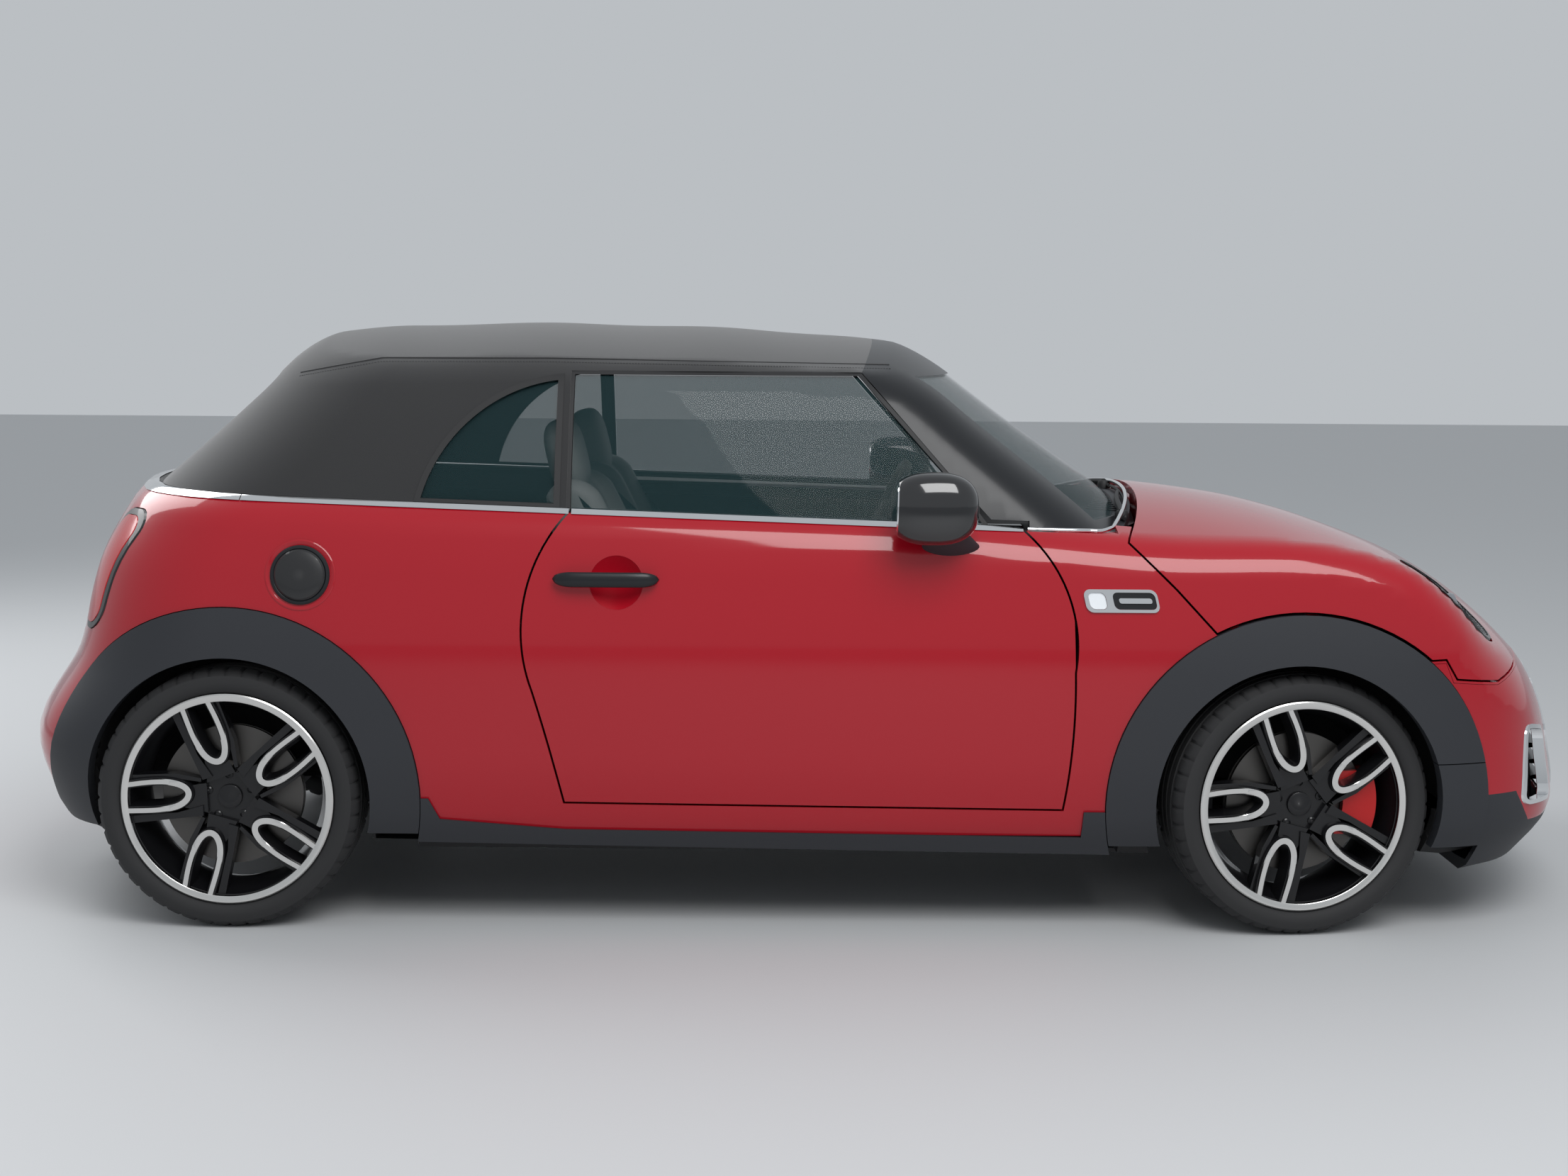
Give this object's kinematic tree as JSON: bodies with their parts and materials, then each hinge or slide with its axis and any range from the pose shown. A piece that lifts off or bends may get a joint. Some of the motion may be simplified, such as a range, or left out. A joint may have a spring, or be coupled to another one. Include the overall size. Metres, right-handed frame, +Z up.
{
  "type": "soft-top convertible car",
  "caption": "Small two-door four-seat convertible car, red with a closed black fabric hood, opening doors, bonnet and tailgate, steered front wheels.",
  "frame": {"origin": "on the ground under the middle of the car", "axes": "+X forward, +Y to the car's left, +Z up"},
  "size_m": [3.8715, 1.932, 1.4148],
  "materials": {
    "red_paint": "high-gloss deep red",
    "black_plastic": "grained matte",
    "black_gloss": "gloss",
    "glass": "clear, slightly tinted",
    "hood_fabric": "woven, matte",
    "lamp_clear": "clear lens",
    "lamp_red": "red lens",
    "chrome": "polished",
    "cabin_plastic": "soft matte",
    "leather": "smooth light grey",
    "steel": "dark coated",
    "caliper_red": "gloss",
    "rubber": "matte",
    "wheel_black": "gloss black with bright-turned edges"
  },
  "bodies": {
    "body": {"body_shell": "red_paint", "cowl": "black_plastic", "wipers": "black_plastic", "windscreen_frame": "black_gloss", "windscreen": "glass", "soft_top": "hood_fabric", "rear_window": "glass", "quarter_glasses": "glass", "front_bumper": "red_paint", "front_grille": "black_plastic", "rear_bumper": "red_paint", "headlamps": "lamp_clear", "tail_lamps": "lamp_red", "lower_cladding": "black_plastic", "belt_trim": "chrome", "fuel_cap": "black_gloss", "side_vents": "black_gloss", "dashboard": "cabin_plastic", "centre_console": "cabin_plastic", "front_seats": "leather", "rear_seat": "leather", "engine": "steel", "front_subframe": "steel", "rear_axle": "steel", "exhaust": "steel"},
    "door_left": {"door_left": "red_paint", "door_glass_left": "glass", "mirror_left": "black_gloss"},
    "door_right": {"door_right": "red_paint", "door_glass_right": "glass", "mirror_right": "black_gloss"},
    "bonnet": {"bonnet": "red_paint"},
    "tailgate": {"tailgate": "red_paint"},
    "steering_wheel": {"steering_wheel": "cabin_plastic"},
    "knuckle_left": {"knuckle_left": "caliper_red"},
    "knuckle_right": {"knuckle_right": "caliper_red"},
    "wheel_front_left": {"tyre_front_left": "rubber", "wheel_front_left": "wheel_black"},
    "wheel_front_right": {"tyre_front_right": "rubber", "wheel_front_right": "wheel_black"},
    "wheel_rear_left": {"tyre_rear_left": "rubber", "wheel_rear_left": "wheel_black"},
    "wheel_rear_right": {"tyre_rear_right": "rubber", "wheel_rear_right": "wheel_black"}
  },
  "joints": [
    {"name": "door_right_hinge", "type": "hinge", "parent": "body", "child": "door_right", "pos_m": [0.687, -0.8335, 0.6], "axis": [0, 0, 1], "range_deg": [0, 65]},
    {"name": "door_left_hinge", "type": "hinge", "parent": "body", "child": "door_left", "pos_m": [0.687, 0.8335, 0.6], "axis": [0, 0, -1], "range_deg": [0, 65]},
    {"name": "bonnet_hinge", "type": "hinge", "parent": "body", "child": "bonnet", "pos_m": [0.76, 0, 0.955], "axis": [0, -1, 0], "range_deg": [0, 50]},
    {"name": "tailgate_hinge", "type": "hinge", "parent": "body", "child": "tailgate", "pos_m": [-1.795, 0, 0.686], "axis": [0, -1, 0], "range_deg": [0, 85]},
    {"name": "steering_column", "type": "hinge", "parent": "body", "child": "steering_wheel", "pos_m": [0.235, 0.365, 0.87], "axis": [-0.9135, 0, 0.4067], "range_deg": [-518, 322]},
    {"name": "steer_left", "type": "hinge", "parent": "body", "child": "knuckle_left", "pos_m": [1.168, 0.7425, 0.306], "axis": [0, 0, 1], "range_deg": [-37, 23]},
    {"name": "spin_front_left", "type": "hinge", "parent": "knuckle_left", "child": "wheel_front_left", "pos_m": [1.168, 0.7425, 0.306], "axis": [-0.1219, 0.9925, 0], "continuous": true},
    {"name": "spin_rear_left", "type": "hinge", "parent": "body", "child": "wheel_rear_left", "pos_m": [-1.327, 0.7425, 0.306], "axis": [0, 1, 0], "continuous": true},
    {"name": "steer_right", "type": "hinge", "parent": "body", "child": "knuckle_right", "pos_m": [1.168, -0.7425, 0.306], "axis": [0, 0, 1], "range_deg": [-37, 23]},
    {"name": "spin_front_right", "type": "hinge", "parent": "knuckle_right", "child": "wheel_front_right", "pos_m": [1.168, -0.7425, 0.306], "axis": [-0.1219, 0.9925, 0], "continuous": true},
    {"name": "spin_rear_right", "type": "hinge", "parent": "body", "child": "wheel_rear_right", "pos_m": [-1.327, -0.7425, 0.306], "axis": [0, 1, 0], "continuous": true}
  ],
  "couplings": [
    {"joint": "steer_left", "follows": "steering_column", "ratio": 0.071429},
    {"joint": "steer_right", "follows": "steering_column", "ratio": 0.071429}
  ]
}
